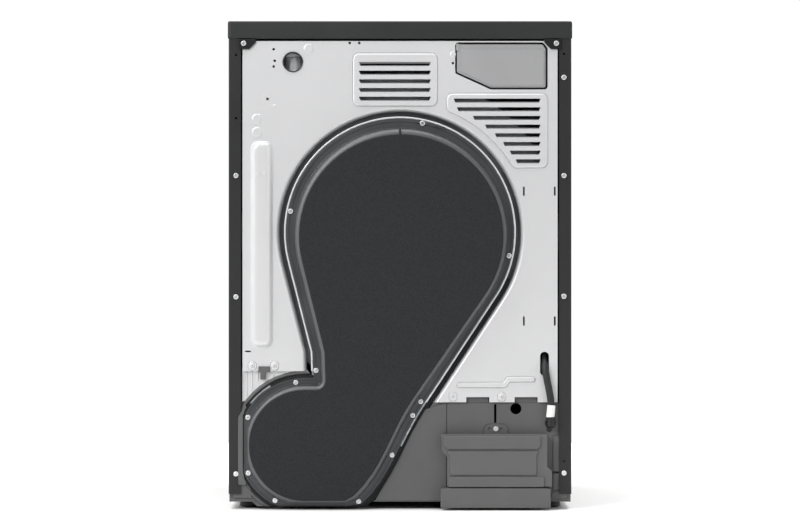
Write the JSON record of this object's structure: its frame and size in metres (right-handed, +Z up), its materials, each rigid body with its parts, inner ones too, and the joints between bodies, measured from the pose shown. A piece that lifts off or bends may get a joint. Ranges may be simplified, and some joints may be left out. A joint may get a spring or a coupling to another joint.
{
  "type": "clothes dryer",
  "caption": "Free-standing heat pump clothes dryer with a round door, turning drum, water tank drawer, rear air duct and levelling feet.",
  "frame": {"origin": "centre of the footprint, on the floor", "axes": "+Z up, -Y towards the door, +Y towards the rear, +X to the right seen from the door"},
  "size_m": [0.6, 0.69, 0.85],
  "materials": {
    "dark_sheet": "satin enamel",
    "black_plastic": "moulded, fine texture",
    "galvanised": "coated zinc, satin",
    "screw_steel": "zinc plated",
    "stainless": "satin",
    "grey_plastic": "moulded, fine texture",
    "white_plastic": "moulded",
    "filter_plastic": "moulded, tinted",
    "felt": "needled felt",
    "rubber": "matte",
    "glass_dark": "tinted gloss",
    "glass_clear": "clear",
    "satin_trim": "satin",
    "circuit_board": "solder mask",
    "coil_aluminium": "bare fins",
    "compressor_black": "gloss enamel",
    "copper": "drawn copper tube"
  },
  "bodies": {
    "cabinet": {"top_cover": "dark_sheet", "side_panel_left": "dark_sheet", "side_panel_right": "dark_sheet", "front_panel": "dark_sheet", "kick_plate": "black_plastic", "rear_panel": "galvanised", "corner_brackets": "black_plastic", "cord_gland": "grey_plastic", "screws": "screw_steel", "control_panel": "black_plastic", "display_window": "glass_dark", "control_board": "circuit_board", "tank_housing": "grey_plastic", "hinge_bracket": "galvanised", "latch_receiver": "black_plastic", "door_seal": "rubber", "front_bulkhead": "galvanised", "drum_seals": "felt", "roller_axles": "galvanised", "drum_belt": "rubber", "drum_motor": "black_plastic", "base_tray": "grey_plastic", "base_cover": "grey_plastic", "fan_motor": "black_plastic", "evaporator": "coil_aluminium", "condenser": "coil_aluminium", "compressor": "compressor_black", "refrigerant_pipes": "copper", "drain_pump": "black_plastic", "drain_hose": "rubber", "hose_fitting": "white_plastic", "duct_shell": "galvanised", "duct_cover": "grey_plastic", "duct_insulation": "felt", "lower_rear_cover": "grey_plastic"},
    "door": {"door_ring": "black_plastic", "door_glass": "glass_dark", "door_bowl": "glass_clear", "door_frame": "grey_plastic", "hinge_arm": "galvanised", "latch_hook": "screw_steel"},
    "knob": {"selector_knob": "satin_trim"},
    "power_key": {"power_button": "satin_trim"},
    "start_key": {"start_button": "satin_trim"},
    "tank_drawer": {"tank_front": "black_plastic", "water_tank": "white_plastic"},
    "filter": {"lint_filter": "filter_plastic"},
    "drum": {"drum_shell": "stainless", "drum_back": "stainless", "drum_lifters": "white_plastic"},
    "roller_left": {"roller_rear_left": "rubber"},
    "roller_right": {"roller_rear_right": "rubber"},
    "rotor": {"motor_pulley": "screw_steel"},
    "idler": {"idler_arm": "galvanised"},
    "idler_wheel": {"idler_pulley": "white_plastic"},
    "fan": {"fan_wheel": "white_plastic"},
    "foot_fl": {"foot_front_left": "rubber"},
    "foot_fr": {"foot_front_right": "rubber"},
    "foot_rl": {"foot_rear_left": "rubber"},
    "foot_rr": {"foot_rear_right": "rubber"}
  },
  "joints": [
    {"name": "door_hinge", "type": "hinge", "parent": "cabinet", "child": "door", "pos_m": [0.238, -0.312, 0.47], "axis": [0, 0, 1], "range_deg": [0, 150]},
    {"name": "knob_turn", "type": "hinge", "parent": "cabinet", "child": "knob", "pos_m": [0, -0.309, 0.766], "axis": [0, 1, 0], "continuous": true},
    {"name": "power_press", "type": "slide", "parent": "cabinet", "child": "power_key", "axis": [0, 1, 0], "range_m": [0, 0.0015], "stiffness_N_per_m": 600},
    {"name": "start_press", "type": "slide", "parent": "cabinet", "child": "start_key", "axis": [0, 1, 0], "range_m": [0, 0.0015], "stiffness_N_per_m": 600},
    {"name": "tank_slide", "type": "slide", "parent": "cabinet", "child": "tank_drawer", "axis": [0, -1, 0], "range_m": [0, 0.42]},
    {"name": "filter_lift", "type": "slide", "parent": "cabinet", "child": "filter", "axis": [0, 0, 1], "range_m": [0, 0.018]},
    {"name": "drum_turn", "type": "hinge", "parent": "cabinet", "child": "drum", "pos_m": [0, 0, 0.482], "axis": [0, 1, 0], "continuous": true},
    {"name": "roller_left_turn", "type": "hinge", "parent": "cabinet", "child": "roller_left", "pos_m": [-0.20429, 0.25, 0.25512], "axis": [0, 1, 0], "continuous": true},
    {"name": "roller_right_turn", "type": "hinge", "parent": "cabinet", "child": "roller_right", "pos_m": [0.20429, 0.25, 0.25512], "axis": [0, 1, 0], "continuous": true},
    {"name": "motor_turn", "type": "hinge", "parent": "cabinet", "child": "rotor", "pos_m": [-0.21, -0.056, 0.12], "axis": [0, 1, 0], "continuous": true},
    {"name": "idler_swing", "type": "hinge", "parent": "cabinet", "child": "idler", "pos_m": [-0.18, -0.07, 0.182], "axis": [0, -1, 0], "range_deg": [0, 8], "stiffness_Nm_per_rad": 6, "springref_deg": -17.19},
    {"name": "idler_turn", "type": "hinge", "parent": "idler", "child": "idler_wheel", "pos_m": [-0.14477, -0.056, 0.14548], "axis": [0, 1, 0], "continuous": true},
    {"name": "fan_turn", "type": "hinge", "parent": "cabinet", "child": "fan", "pos_m": [0.166, 0.26, 0.1125], "axis": [0, 1, 0], "continuous": true},
    {"name": "foot_fl_screw", "type": "slide", "parent": "cabinet", "child": "foot_fl", "axis": [0, 0, -1], "range_m": [0, 0.015]},
    {"name": "foot_fr_screw", "type": "slide", "parent": "cabinet", "child": "foot_fr", "axis": [0, 0, -1], "range_m": [0, 0.015]},
    {"name": "foot_rl_screw", "type": "slide", "parent": "cabinet", "child": "foot_rl", "axis": [0, 0, -1], "range_m": [0, 0.015]},
    {"name": "foot_rr_screw", "type": "slide", "parent": "cabinet", "child": "foot_rr", "axis": [0, 0, -1], "range_m": [0, 0.015]}
  ],
  "couplings": [
    {"joint": "roller_left_turn", "follows": "drum_turn", "ratio": -11.2},
    {"joint": "roller_right_turn", "follows": "drum_turn", "ratio": -11.2},
    {"joint": "motor_turn", "follows": "drum_turn", "ratio": 28},
    {"joint": "idler_turn", "follows": "drum_turn", "ratio": 23.333}
  ]
}
